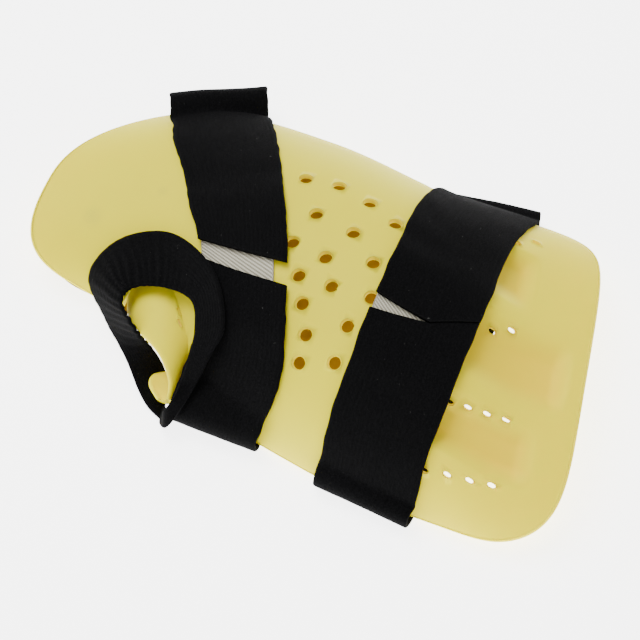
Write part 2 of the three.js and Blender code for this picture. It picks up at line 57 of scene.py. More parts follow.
def throughRows(places, values, at):
    # Cubic through the rows of a table: each slope is that of the line between its neighbours.
    places, values, at = np.asarray(places, float), np.asarray(values, float), np.asarray(at, float)
    steps = np.diff(values) / np.diff(places)
    slopes = np.empty_like(values)
    slopes[0], slopes[-1] = steps[0], steps[-1]
    slopes[1:-1] = (values[2:] - values[:-2]) / (places[2:] - places[:-2])
    row = np.clip(np.searchsorted(places, at) - 1, 0, len(places) - 2)
    span = places[row + 1] - places[row]
    t = (at - places[row]) / span
    return ((2 * t**3 - 3 * t**2 + 1) * values[row] + (t**3 - 2 * t**2 + t) * span * slopes[row]
            + (3 * t**2 - 2 * t**3) * values[row + 1] + (t**3 - t**2) * span * slopes[row + 1])


def unit(vectors):
    return vectors / np.maximum(np.linalg.norm(vectors, axis=-1, keepdims=True), 1e-12)


def gridNormals(grid):
    # Cross product of the steps to the neighbours along the rows and along the columns.
    return unit(np.cross(np.gradient(grid, axis=0), np.gradient(grid, axis=1)))


def ripple(x, y, size, seed):
    # Smooth irregular waves from -1 to 1: a sum of sines in turned directions, seeded.
    rng = np.random.default_rng(seed)
    total = np.zeros(np.broadcast(x, y).shape)
    waves = zip(rng.uniform(0, math.tau, 7), rng.uniform(0.6, 1.9, 7), rng.uniform(0, math.tau, 7))
    for turn, scale, phase in waves:
        total += np.sin((x * math.cos(turn) + y * math.sin(turn)) * math.tau * scale / size + phase)
    return total / 4.5


def throughPoints(points, steps):
    # Centripetal Catmull-Rom curve through points of shape (count, threads, 3).
    first, last = 2 * points[:1] - points[1:2], 2 * points[-1:] - points[-2:-1]
    chain = np.concatenate([first, points, last])
    knots = np.maximum(np.linalg.norm(np.diff(chain, axis=0), axis=-1, keepdims=True) ** 0.5, 1e-4)
    p0, p1, p2, p3 = chain[:-3], chain[1:-2], chain[2:-1], chain[3:]
    d0, d1, d2 = knots[:-2], knots[1:-1], knots[2:]
    leave = d1 * ((p1 - p0) / d0 - (p2 - p0) / (d0 + d1) + (p2 - p1) / d1)
    arrive = d1 * ((p2 - p1) / d1 - (p3 - p1) / (d1 + d2) + (p3 - p2) / d2)
    t = (np.arange(steps) / steps)[None, :, None, None]
    p1, p2, leave, arrive = (a[:, None] for a in (p1, p2, leave, arrive))
    curve = ((2 * t**3 - 3 * t**2 + 1) * p1 + (t**3 - 2 * t**2 + t) * leave
             + (3 * t**2 - 2 * t**3) * p2 + (t**3 - t**2) * arrive)
    curve = curve.reshape(-1, *points.shape[1:])
    return np.concatenate([curve, points[-1:]])


def evenSteps(curve, count):
    # Each thread cut into equal lengths.
    even = np.empty((count, *curve.shape[1:]))
    for j in range(curve.shape[1]):
        thread = curve[:, j]
        length = np.concatenate([[0], np.cumsum(np.linalg.norm(np.diff(thread, axis=0), axis=1))])
        places = np.linspace(0, length[-1], count)
        for axis in range(3):
            even[:, j, axis] = np.interp(places, length, thread[:, axis])
    return even


def quadStrip(lower, upper, closed):
    # Quads between two rows of vertex numbers.
    if closed:
        lower, upper = np.append(lower, lower[0]), np.append(upper, upper[0])
    return np.stack([lower[:-1], lower[1:], upper[1:], upper[:-1]], axis=1)


handShift = np.zeros(3)


def makePiece(name, points, faces, material, nodes, uv=None):
    mesh = bpy.data.meshes.new(name)
    vertices = (np.asarray(points) + handShift) * metres
    mesh.from_pydata(vertices.tolist(), [], faces)
    mesh.polygons.foreach_set("use_smooth", np.ones(len(mesh.polygons), bool))
    if uv is not None:
        layer = mesh.uv_layers.new(name="cloth")
        corners = np.empty(len(mesh.loops), np.int32)
        mesh.loops.foreach_get("vertex_index", corners)
        layer.data.foreach_set("uv", uv[corners].astype(np.float32).ravel())
    mesh.update()
    piece = bpy.data.objects.new(name, mesh)
    bpy.context.collection.objects.link(piece)
    mesh.materials.append(material)
    turnOutwards(mesh)
    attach(piece, "root")
    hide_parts(*nodes)
    return piece


def turnOutwards(mesh):
    # The signed volume under the faces says which way they look.
    mesh.calc_loop_triangles()
    corners = np.empty(3 * len(mesh.loop_triangles), np.int32)
    mesh.loop_triangles.foreach_get("vertices", corners)
    places = np.empty(3 * len(mesh.vertices))
    mesh.vertices.foreach_get("co", places)
    a, b, c = places.reshape(-1, 3)[corners].reshape(-1, 3, 3).transpose(1, 0, 2)
    if np.einsum("ij,ij->i", a, np.cross(b, c)).sum() < 0:
        mesh.flip_normals()


def bandMesh(inside, normals, thickness, edgeSteps=5, closed=False):
    # A band of even thickness: its section runs over the outer face, round one edge, back
    # over the inner face and round the other edge. Its ends are capped, or meet in a loop.
    rows, sides = inside.shape[:2]
    outer = inside + thickness * normals
    middle = inside + 0.5 * thickness * normals
    turn = (np.arange(1, edgeSteps + 1) / (edgeSteps + 1) * math.pi)[None, :, None]

    def roundEdge(edge, neighbour, sign):
        out = unit(middle[:, edge] - middle[:, neighbour])[:, None]
        up = normals[:, edge][:, None] * sign
        return middle[:, edge][:, None] + 0.5 * thickness * (np.cos(turn) * up + np.sin(turn) * out)

    section = np.concatenate([outer, roundEdge(-1, -2, 1), inside[:, ::-1], roundEdge(0, 1, -1)],
                             axis=1)
    around = section.shape[1]
    number = np.arange(rows * around).reshape(rows, around)
    here, beyond = (number, np.roll(number, -1, axis=0)) if closed else (number[:-1], number[1:])
    faces = np.stack([here, beyond, np.roll(beyond, -1, axis=1), np.roll(here, -1, axis=1)], axis=-1)
    faces = faces.reshape(-1, 4).tolist()
    if not closed:
        for row, flip in ((0, 1), (rows - 1, -1)):
            ring = number[row]
            top, bottom = ring[:sides], ring[sides + edgeSteps:2 * sides + edgeSteps][::-1]
            cap = quadStrip(bottom, top, False).tolist()
            cap.append([*ring[sides - 1:sides + edgeSteps + 1]])
            cap.append([*ring[2 * sides + edgeSteps - 1:], ring[0]])
            faces += [[int(v) for v in face[::flip]] for face in cap]
    return section.reshape(-1, 3), faces, section.shape[:2]


def newMaterial(name):
    material = bpy.data.materials.new(name)
    material.use_nodes = True
    material.node_tree.nodes.clear()
    return material, material.node_tree.nodes, material.node_tree.links


def addNode(nodes, kind, **settings):
    node = nodes.new(kind)
    for key, value in settings.items():
        if key.startswith("in_"):
            node.inputs[key[3:].replace("_", " ")].default_value = value
        else:
            setattr(node, key, value)
    return node


def colourRamp(nodes, stops):
    ramp = nodes.new("ShaderNodeValToRGB")
    elements = ramp.color_ramp.elements
    while len(elements) < len(stops):
        elements.new(0.5)
    for element, (place, colour) in zip(elements, stops):
        element.position = place
        element.color = (*colour, 1)
    return ramp


def layColour(nodes, links, share, under, over):
    # A plain colour laid over another as far as the share says.
    mix = addNode(nodes, "ShaderNodeMix", data_type="RGBA")
    mix.inputs["B"].default_value = (*over, 1)
    links.new(share, mix.inputs["Factor"])
    links.new(under, mix.inputs["A"])
    return mix.outputs["Result"]


def mapShare(nodes, links, value, start, end, low=0.0, high=1.0, **settings):
    fade = addNode(nodes, "ShaderNodeMapRange", **settings)
    for name, number in (("From Min", start), ("From Max", end), ("To Min", low), ("To Max", high)):
        fade.inputs[name].default_value = number
    links.new(value, fade.inputs["Value"])
    return fade.outputs["Result"]


def putOut(nodes, links, shader):
    links.new(shader.outputs["BSDF"], nodes.new("ShaderNodeOutputMaterial").inputs["Surface"])


def newGroup(name, inputs, outputs):
    group = bpy.data.node_groups.new(name, "ShaderNodeTree")
    for socket, kind, value in inputs:
        made = group.interface.new_socket(name=socket, in_out="INPUT", socket_type=kind)
        if value is not None:
            made.default_value = value
    for socket, kind in outputs:
        group.interface.new_socket(name=socket, in_out="OUTPUT", socket_type=kind)
    given, result = group.nodes.new("NodeGroupInput"), group.nodes.new("NodeGroupOutput")
    return group, group.nodes, group.links, given, result


def makeMottleGroup():
    # Soft patches and fine grain from two noises at named sizes.
    group, nodes, links, given, result = newGroup(
        "softMottle",
        [("Place", "NodeSocketVector", None), ("Patch scale", "NodeSocketFloat", 20.0),
         ("Grain scale", "NodeSocketFloat", 900.0)],
        [("Patch", "NodeSocketFloat"), ("Grain", "NodeSocketFloat")],
    )
    patch = addNode(nodes, "ShaderNodeTexNoise", in_Detail=3.0, in_Roughness=0.5)
    grain = addNode(nodes, "ShaderNodeTexNoise", in_Detail=4.0, in_Roughness=0.65)
    for noise, scale in ((patch, "Patch scale"), (grain, "Grain scale")):
        links.new(given.outputs["Place"], noise.inputs["Vector"])
        links.new(given.outputs[scale], noise.inputs["Scale"])
    links.new(patch.outputs["Fac"], result.inputs["Patch"])
    links.new(grain.outputs["Fac"], result.inputs["Grain"])
    return group


mottleGroup = makeMottleGroup()


def useMottle(nodes, links, place, patchScale, grainScale):
    mottle = addNode(nodes, "ShaderNodeGroup", node_tree=mottleGroup)
    mottle.inputs["Patch scale"].default_value = patchScale
    mottle.inputs["Grain scale"].default_value = grainScale
    links.new(place, mottle.inputs["Place"])
    return mottle


plasticValues = {
    "colour": (0.87, 0.745, 0.0),  # moulded yellow
    "dentShadeColour": (0.87, 0.66, 0.0),  # painted shade in the dents and hole walls, orange with light bounced through the plastic
    "paleColour": (0.89, 0.775, 0.0),
    "grazingSheenColour": (0.80, 0.70, 0.10),  # painted pale sheen where the surface is seen at a grazing angle
    "smudge": (0.30, 0.27, 0.16),
    "roughness": 0.52,
    "translucency": 0.25,
    "smudges": [((-112.0, -10.0, 30.0), 8.0, 0.30), ((-83.0, 12.0, 38.0), 5.0, 0.20),
                ((4.0, -70.0, 22.0), 4.0, 0.5)],  # place, size and strength
}


def makePlastic():
    values = plasticValues
    material, nodes, links = newMaterial("moulded_yellow_plastic")
    place = nodes.new("ShaderNodeTexCoord").outputs["Object"]
    mottle = useMottle(nodes, links, place, 22.0, 1400.0)
    tone = colourRamp(nodes, [(0.3, values["colour"]), (0.7, values["paleColour"])])
    links.new(mottle.outputs["Patch"], tone.inputs["Fac"])
    # Painted shade: more orange in the dents and hole walls, as far as the painted shade mask says.
    paintedDentShade = addNode(nodes, "ShaderNodeAttribute", attribute_name="paintedDentShade")
    # Painted sheen: paler where the surface is seen at a grazing angle.
    grazing = addNode(nodes, "ShaderNodeLayerWeight", in_Blend=0.06)
    colour = layColour(nodes, links, paintedDentShade.outputs["Fac"], tone.outputs["Color"], values["dentShadeColour"])
    colour = layColour(nodes, links, grazing.outputs["Facing"], colour, values["grazingSheenColour"])
    for spot, size, strength in values["smudges"]:
        reach = addNode(nodes, "ShaderNodeVectorMath", operation="DISTANCE")
        reach.inputs[1].default_value = tuple((np.array(spot) + handShift) * metres)
        links.new(place, reach.inputs[0])
        fade = mapShare(nodes, links, reach.outputs["Value"], size * metres, 0.0, high=strength,
                        interpolation_type="SMOOTHSTEP")
        broken = addNode(nodes, "ShaderNodeMath", operation="MULTIPLY")
        links.new(fade, broken.inputs[0])
        links.new(mottle.outputs["Grain"], broken.inputs[1])
        colour = layColour(nodes, links, broken.outputs["Value"], colour, values["smudge"])
    rough = mapShare(nodes, links, mottle.outputs["Patch"], 0.0, 1.0, values["roughness"] - 0.05,
                     values["roughness"] + 0.08)
    bump = addNode(nodes, "ShaderNodeBump", in_Strength=0.08, in_Distance=0.0003)
    links.new(mottle.outputs["Grain"], bump.inputs["Height"])
    shader = addNode(nodes, "ShaderNodeBsdfPrincipled")
    shader.inputs["Subsurface Weight"].default_value = values["translucency"]
    shader.inputs["Subsurface Radius"].default_value = (1.0, 0.8, 0.15)
    shader.inputs["Subsurface Scale"].default_value = 0.006
    shader.inputs["Specular IOR Level"].default_value = 0.12
    shader.inputs["IOR"].default_value = 1.5
    links.new(colour, shader.inputs["Base Color"])
    links.new(rough, shader.inputs["Roughness"])
    links.new(bump.outputs["Normal"], shader.inputs["Normal"])
    putOut(nodes, links, shader)
    return material


loopValues = {
    "colour": (0.0022, 0.0022, 0.0024),
    "liftColour": (0.0065, 0.0065, 0.007),  # on the pile's tips
    "lint": (0.07, 0.07, 0.066),
    "roughness": 0.95,
    "ribsPerMetre": 520.0,
}


def waveScale(perMetre):
    # The wave texture turns twenty radians in one unit at a scale of one.
    return perMetre * math.tau / 20


def makeLoopCloth():
    # Brushed loop: knitted ribs along the strap under a tangled pile, with a little lint.
    values = loopValues
    material, nodes, links = newMaterial("brushed_loop_black")
    place = nodes.new("ShaderNodeTexCoord").outputs["Object"]
    cloth = addNode(nodes, "ShaderNodeUVMap", uv_map="cloth").outputs["UV"]
    mottle = useMottle(nodes, links, place, 160.0, 1500.0)
    lint = useMottle(nodes, links, place, 60.0, 520.0)
    ribs = addNode(nodes, "ShaderNodeTexWave", bands_direction="Y", in_Distortion=1.6, in_Detail=2.0,
                   in_Detail_Scale=1.4, in_Scale=waveScale(values["ribsPerMetre"]))
    links.new(cloth, ribs.inputs["Vector"])
    tone = colourRamp(nodes, [(0.38, values["colour"]), (0.72, values["liftColour"])])
    links.new(mottle.outputs["Grain"], tone.inputs["Fac"])
    specks = mapShare(nodes, links, lint.outputs["Grain"], 0.705, 0.74)
    dusted = layColour(nodes, links, specks, tone.outputs["Color"], values["lint"])
    height = addNode(nodes, "ShaderNodeMath", operation="MULTIPLY_ADD")
    height.inputs[1].default_value = 0.25
    links.new(ribs.outputs["Fac"], height.inputs[0])
    links.new(mottle.outputs["Grain"], height.inputs[2])
    bump = addNode(nodes, "ShaderNodeBump", in_Strength=0.7, in_Distance=0.0006)
    links.new(height.outputs["Value"], bump.inputs["Height"])
    shader = addNode(nodes, "ShaderNodeBsdfPrincipled")
    shader.inputs["Roughness"].default_value = values["roughness"]
    shader.inputs["Specular IOR Level"].default_value = 0.03
    shader.inputs["Sheen Weight"].default_value = 0.015
    shader.inputs["Sheen Roughness"].default_value = 0.5
    links.new(dusted, shader.inputs["Base Color"])
    links.new(bump.outputs["Normal"], shader.inputs["Normal"])
    putOut(nodes, links, shader)
    return material


hookValues = {
    "colour": (0.30, 0.27, 0.19),
    "hookColour": (0.62, 0.59, 0.47),
    "rowsPerMetre": 700.0,
    "roughness": 0.75,
}


def makeHookTape():
    # Woven tape with slanting rows of small hooks.
    values = hookValues
    material, nodes, links = newMaterial("cream_hook_tape")
    cloth = addNode(nodes, "ShaderNodeUVMap", uv_map="cloth").outputs["UV"]
    place = nodes.new("ShaderNodeTexCoord").outputs["Object"]
    mottle = useMottle(nodes, links, place, 200.0, 1800.0)
    slant = addNode(nodes, "ShaderNodeMapping")
    slant.inputs["Rotation"].default_value = (0, 0, 32 * degrees)
    links.new(cloth, slant.inputs["Vector"])
    waves = []
    for direction, share in (("X", 1.0), ("Y", 1.7)):
        wave = addNode(nodes, "ShaderNodeTexWave", bands_direction=direction, in_Distortion=0.4,
                       in_Scale=waveScale(values["rowsPerMetre"] * share))
        links.new(slant.outputs["Vector"], wave.inputs["Vector"])
        waves.append(wave.outputs["Fac"])
    hooks = addNode(nodes, "ShaderNodeMath", operation="MULTIPLY_ADD", use_clamp=True)
    hooks.inputs[1].default_value = 0.3
    links.new(waves[1], hooks.inputs[0])
    links.new(waves[0], hooks.inputs[2])
    tone = colourRamp(nodes, [(0.2, values["colour"]), (0.9, values["hookColour"])])
    links.new(hooks.outputs["Value"], tone.inputs["Fac"])
    bump = addNode(nodes, "ShaderNodeBump", in_Strength=0.8, in_Distance=0.0005)
    height = addNode(nodes, "ShaderNodeMath", operation="MULTIPLY_ADD")
    height.inputs[1].default_value = 0.25
    links.new(mottle.outputs["Grain"], height.inputs[0])
    links.new(hooks.outputs["Value"], height.inputs[2])
    links.new(height.outputs["Value"], bump.inputs["Height"])
    shader = addNode(nodes, "ShaderNodeBsdfPrincipled")
    shader.inputs["Roughness"].default_value = values["roughness"]
    links.new(tone.outputs["Color"], shader.inputs["Base Color"])
    links.new(bump.outputs["Normal"], shader.inputs["Normal"])
    putOut(nodes, links, shader)
    return material


boardValues = {
    "length": 285.0, "width": 170.0, "domeHeight": 58.0, "wall": 2.6, "archAngle": 80.0,
    "fingerEndSlant": 24.0, "strapThickness": 2.2, "seatGap": 0.4,
    # along, near edge, far edge, crown, as shares of half the length, the width and the height
    "stations": np.array([
        (-1.0, -0.27, 0.345, 0.46), (-0.6, -0.26, 0.515, 0.66), (-0.16, -0.435, 0.54, 0.88),
        (0.22, -0.512, 0.50, 1.0), (0.36, -0.526, 0.485, 0.98), (0.6, -0.54, 0.495, 0.88),
        (0.8, -0.548, 0.51, 0.66), (1.0, -0.50, 0.505, 0.55)]),
    "corners": {"wristNear": 3.2, "wristFar": 2.2, "fingerNear": 4.2, "fingerFar": 6.0},
    # finger beds: middle across, half width, start and end along, depth in millimetres
    "beds": [(0.30, 0.17, 0.42, 0.79, 5.0), (-0.08, 0.17, 0.42, 0.96, 5.0),
             (-0.44, 0.14, 0.42, 0.89, 5.0)],
    "palmHoles": [
        (-0.13, 0.28), (-0.01, 0.32), (0.12, 0.30), (0.24, 0.25), (-0.03, 0.12), (0.12, 0.11),
        (-0.06, -0.05), (0.07, -0.05), (0.23, 0.02), (0.01, -0.17), (0.13, -0.15), (0.27, -0.12),
        (0.06, -0.27), (0.23, -0.27), (0.11, -0.38), (0.12, -0.50), (0.23, -0.43)],
    # along, across, steps and number of each row of small holes
    "fingerHoles": [(0.68, 0.49, 0.07, 0.08, 2), (0.685, 0.005, 0.055, 0.04, 2),
                    (0.60, -0.365, 0.06, 0.018, 4), (0.565, -0.693, 0.068, 0.03, 4)],
    "palmHoleRadius": 3.1, "fingerHoleRadius": 2.0, "holeRounding": 0.55,
    "fingerHoleFlatness": 0.62,
    "rows": 229, "columns": 171, "rimSteps": 6, "rimPower": 0.6,
    "palmHoleCells": (3, 4), "fingerHoleCells": (2, 3),  # half the cells opened and drawn round
}
halfLength = boardValues["length"] / 2
reach = boardValues["archAngle"] * degrees
rimHeight = (boardValues["strapThickness"] + boardValues["seatGap"]
             + boardValues["wall"] * math.cos(reach))


def stationValue(column, along):
    table = boardValues["stations"]
    return throughRows(table[:, 0], table[:, column], along)


def domePoint(along, across):
    # Arch section: across moves on an arc of the arch angle, scaled to the station's width
    # and height, and the fingertips slant towards the index finger.
    near = stationValue(1, along) * boardValues["width"]
    far = stationValue(2, along) * boardValues["width"]
    crown = stationValue(3, along) * boardValues["domeHeight"]
    y = (near + far) / 2 + 0.5 * (far - near) * np.sin(across * reach) / math.sin(reach)
    rise = (np.cos(across * reach) - math.cos(reach)) / (1 - math.cos(reach))
    x = along * halfLength - boardValues["fingerEndSlant"] * across * smooth(along)
    return np.stack([x, y, rimHeight + (crown - rimHeight) * rise], axis=-1)


def surfaceNormal(surface, along, across):
    step = 0.002
    return unit(np.cross(surface(along + step, across) - surface(along - step, across),
                         surface(along, across + step) - surface(along, across - step)))


def bedShare(along, across):
    # Each bed is a rounded trench: smooth across, a gentle start and a steeper end wall.
    total = np.zeros(np.broadcast(along, across).shape)
    for middle, half, start, end, depth in boardValues["beds"]:
        side = smooth(1.4 * (1 - np.abs(across - middle) / half))
        total += depth * side * smooth((along - start) / 0.2) * smooth((end - along) / 0.065)
    return total


def boardPoint(along, across):
    drop = bedShare(along, across)[..., None]
    return domePoint(along, across) - drop * surfaceNormal(domePoint, along, across)


def trimmed(p, q):
    # The square p, q is drawn in to a superellipse whose power changes from corner to corner.
    corner = boardValues["corners"]
    power = np.where(q < 0, np.where(p < 0, corner["wristNear"], corner["fingerNear"]),
                     np.where(p < 0, corner["wristFar"], corner["fingerFar"]))
    square = np.maximum(np.abs(p), np.abs(q))
    rounded = np.maximum((np.abs(p) ** power + np.abs(q) ** power) ** (1 / power), 1e-9)
    return p * square / rounded, q * square / rounded


troughValues = {
    "radius": 23.0, "length": 50.0, "wall": 2.6, "rootAlong": -0.417, "rootNear": -0.20, "lean": 6.0,
    # along, middle to the right, middle up, size, upper lip and lower lip in degrees
    "sections": np.array([
        (-0.10, -0.06, 0.34, 1.00, 172, -10), (0.25, 0.03, 0.46, 0.85, 158, -24),
        (0.50, 0.18, 0.59, 0.67, 128, -38), (0.70, 0.30, 0.66, 0.46, 78, -108),
        (0.86, 0.43, 0.54, 0.34, 40, -145), (0.98, 0.55, 0.46, 0.18, 20, -150)]),
    # along and turn in degrees
    "holes": [(0.20, 66.0), (0.31, 60.0)], "holeRadius": 1.8, "holeRounding": 0.4,
    "rows": 100, "columns": 80, "edgeSteps": 7, "rimSteps": 5, "holeCells": (2, 4),
}


def troughValue(column, along):
    table = troughValues["sections"]
    return throughRows(table[:, 0], table[:, column], along)


def troughPoint(along, turn, inwards):
    # Round sections strung along a leaning line towards the thumb's side.
    radius = troughValue(3, along) * troughValues["radius"] - inwards
    right = troughValue(1, along) * troughValues["radius"] + radius * np.cos(turn)
    height = troughValue(2, along) * troughValues["radius"] + radius * np.sin(turn)
    lean, out = troughValues["lean"] * degrees, along * troughValues["length"]
    x = troughValues["rootAlong"] * halfLength + right * math.cos(lean) + out * math.sin(lean)
    y = troughValues["rootNear"] * boardValues["width"] + right * math.sin(lean) - out * math.cos(lean)
    return np.stack([x, y, height], axis=-1)


def insideTrough(points):
    # How deep points lie in the thumb's space, in millimetres, where it passes the shell.
    lean = troughValues["lean"] * degrees
    x = points[..., 0] - troughValues["rootAlong"] * halfLength
    y = points[..., 1] - troughValues["rootNear"] * boardValues["width"]
    along = np.clip((x * math.sin(lean) - y * math.cos(lean)) / troughValues["length"], -0.10, 0.98)
    right = x * math.cos(lean) + y * math.sin(lean) - troughValue(1, along) * troughValues["radius"]
    up = points[..., 2] - troughValue(2, along) * troughValues["radius"]
    past = (x * math.sin(lean) - y * math.cos(lean)) / troughValues["length"] + 0.10
    radius = troughValue(3, along) * troughValues["radius"] - 0.5 * troughValues["wall"]
    depth = radius - np.hypot(right, up)
    return np.minimum(depth, past * troughValues["length"])


def notchedShare(along):
    # Across, how far the shell reaches towards the thumb before it meets the thumb's space.
    across = np.linspace(-1.0, -0.2, 161)
    a, b = np.meshgrid(along, across, indexing="ij")
    inside = insideTrough(domePoint(a, b)) > 0
    last = np.where(inside.any(axis=1), inside.shape[1] - 1 - np.argmax(inside[:, ::-1], axis=1), 0)
    return np.where(inside.any(axis=1), across[last], -1.0)


def ringNumbers(middle, half, columns):
    # Vertex numbers round a square of cells, in order.
    row, column = middle
    span = np.arange(-half, half)
    sides = [(row - half + 0 * span, column + span), (row + span, column + half + 0 * span),
             (row + half + 0 * span, column - span), (row - span, column - half + 0 * span)]
    return np.concatenate([r * columns + c for r, c in sides])


def openHole(places, keep, centre, radius, half, outerHalf, flatness=1.0):
    # Draws the cells round a hole out to circles, or ellipses where flatness is under one, and
    # drops those inside it. Places holds along and across for every vertex, keep says which
    # cells stay.
    spots = boardPoint(places[..., 0], places[..., 1])
    middle = boardPoint(*np.array(centre))
    nearest = np.unravel_index(np.argmin(np.linalg.norm(spots - middle, axis=-1)), spots.shape[:2])
    step = 0.001
    stepA = (boardPoint(centre[0] + step, centre[1]) - middle) / step
    stepB = (boardPoint(centre[0], centre[1] + step) - middle) / step
    u = unit(stepA)
    v = unit(stepB - stepB.dot(u) * u)
    block = (slice(nearest[0] - outerHalf, nearest[0] + outerHalf + 1),
             slice(nearest[1] - outerHalf, nearest[1] + outerHalf + 1))
    offset = np.arange(-outerHalf, outerHalf + 1)
    ring = np.maximum(np.abs(offset)[:, None], np.abs(offset)[None, :])
    local = spots[block] - spots[nearest]
    turn = np.arctan2(local @ v, local @ u)
    distance = radius * ring / half
    across = flatness * distance * np.sin(turn) / stepB.dot(v)
    along = (distance * np.cos(turn) - across * stepB.dot(u)) / np.linalg.norm(stepA)
    circled = np.stack([centre[0] + along, centre[1] + across], axis=-1)
    share = smooth((outerHalf - ring) / max(outerHalf - half, 1))[..., None]
    places[block] = circled * share + places[block] * (1 - share)
    keep[nearest[0] - half:nearest[0] + half, nearest[1] - half:nearest[1] + half] = False
    return nearest, half, middle


def rimRings(top, down, out, wall, width, power, steps):
    # Rings from the outer edge of a wall round to its inner edge, bulging out by a width.
    turn = (np.arange(1, steps + 1) / (steps + 1) * math.pi)[:, None, None]
    return top - down * wall * 0.5 * (1 - np.cos(turn)) + out * width * np.sin(turn) ** power


def shellMesh():
    values = boardValues
    rows, columns = values["rows"], values["columns"]
    p, q = np.meshgrid(np.linspace(-1, 1, rows), np.linspace(-1, 1, columns), indexing="ij")
    along, across = trimmed(p, q)
    limit = notchedShare(along.mean(axis=1))
    edge = across[:, :1]
    shorter = np.minimum(1, limit[:, None] / np.minimum(edge, -1e-6))
    across = np.where(across < 0, across * shorter, across)
    places = np.stack([along, across], axis=-1)
    keep = np.ones((rows - 1, columns - 1), bool)
    holes = []
    for centre in values["palmHoles"]:
        radius = values["palmHoleRadius"] + values["holeRounding"]
        holes.append(openHole(places, keep, centre, radius, *values["palmHoleCells"]))
    for a, b, stepA, stepB, count in values["fingerHoles"]:
        for i in range(count):
            radius = values["fingerHoleRadius"] + values["holeRounding"]
            holes.append(openHole(places, keep, (a + i * stepA, b + i * stepB), radius,
                                  *values["fingerHoleCells"], values["fingerHoleFlatness"]))
    outer = boardPoint(places[..., 0], places[..., 1])
    normals = surfaceNormal(boardPoint, places[..., 0], places[..., 1])
    inner = outer - values["wall"] * normals
    points = [outer.reshape(-1, 3), inner.reshape(-1, 3)]
    count = rows * columns
    number = np.arange(count).reshape(rows, columns)
    cells = np.stack([number[:-1, :-1], number[1:, :-1], number[1:, 1:], number[:-1, 1:]], axis=-1)[keep]
    faces = [cells, cells[:, ::-1] + count]
    made = 2 * count
    border = np.concatenate([number[:, 0], number[-1, 1:], number[-2::-1, -1], number[0, -2:0:-1]])
    loops = [(border, None)]
    for nearest, half, middle in holes:
        loops.append((ringNumbers(nearest, half, columns), middle))
    for loop, middle in loops:
        top, down = outer.reshape(-1, 3)[loop], normals.reshape(-1, 3)[loop]
        if middle is None:
            run = unit(np.roll(top, -1, axis=0) - np.roll(top, 1, axis=0))
            out = unit(np.cross(run, down))
            out *= np.sign((out * (top - top.mean(axis=0))).sum())
            width, power = 0.45 * values["wall"], 1.0
        else:
            out = unit((middle - top) - ((middle - top) * down).sum(axis=1, keepdims=True) * down)
            width, power = values["holeRounding"], values["rimPower"]
        previous = loop
        for ring in rimRings(top, down, out, values["wall"], width, power, values["rimSteps"]):
            points.append(ring)
            current = made + np.arange(len(loop))
            faces.append(quadStrip(previous, current, True))
            made += len(loop)
            previous = current
        faces.append(quadStrip(previous, loop + count, True))
    bed = bedShare(places[..., 0], places[..., 1]).ravel() / max(row[-1] for row in values["beds"])
    paintedDentShade = np.zeros(made)  # painted shade for the material: the dents by their depth, the inner face a little, the hole walls fully
    paintedDentShade[:count] = 0.8 * np.clip(bed, 0, 1)
    paintedDentShade[count:] = 0.35
    paintedDentShade[2 * count + len(border) * values["rimSteps"]:] = 1.0
    used = np.zeros(made, bool)
    faces = np.concatenate(faces)
    used[faces.ravel()] = True
    renumber = np.cumsum(used) - 1
    return np.concatenate(points)[used], renumber[faces], paintedDentShade[used]


shellPoints, shellFaces, shellDentShade = shellMesh()
boardLow = np.array(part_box("splint_board")[0]) / metres
handShift[:2] = boardLow[:2] - shellPoints[:, :2].min(axis=0)
print("stage: shell worked out, hand's frame at", handShift.round(2).tolist(), "mm")

plastic, loopCloth, hookTape = makePlastic(), makeLoopCloth(), makeHookTape()


# Stores the painted shade mask on the mesh for the material.
def addDentShade(piece, paintedDentShade):
    attribute = piece.data.attributes.new("paintedDentShade", "FLOAT", "POINT")
    attribute.data.foreach_set("value", paintedDentShade.astype(np.float32))


shell = makePiece("moulded_shell", shellPoints, shellFaces.tolist(), plastic, ["splint_board"])
addDentShade(shell, shellDentShade)


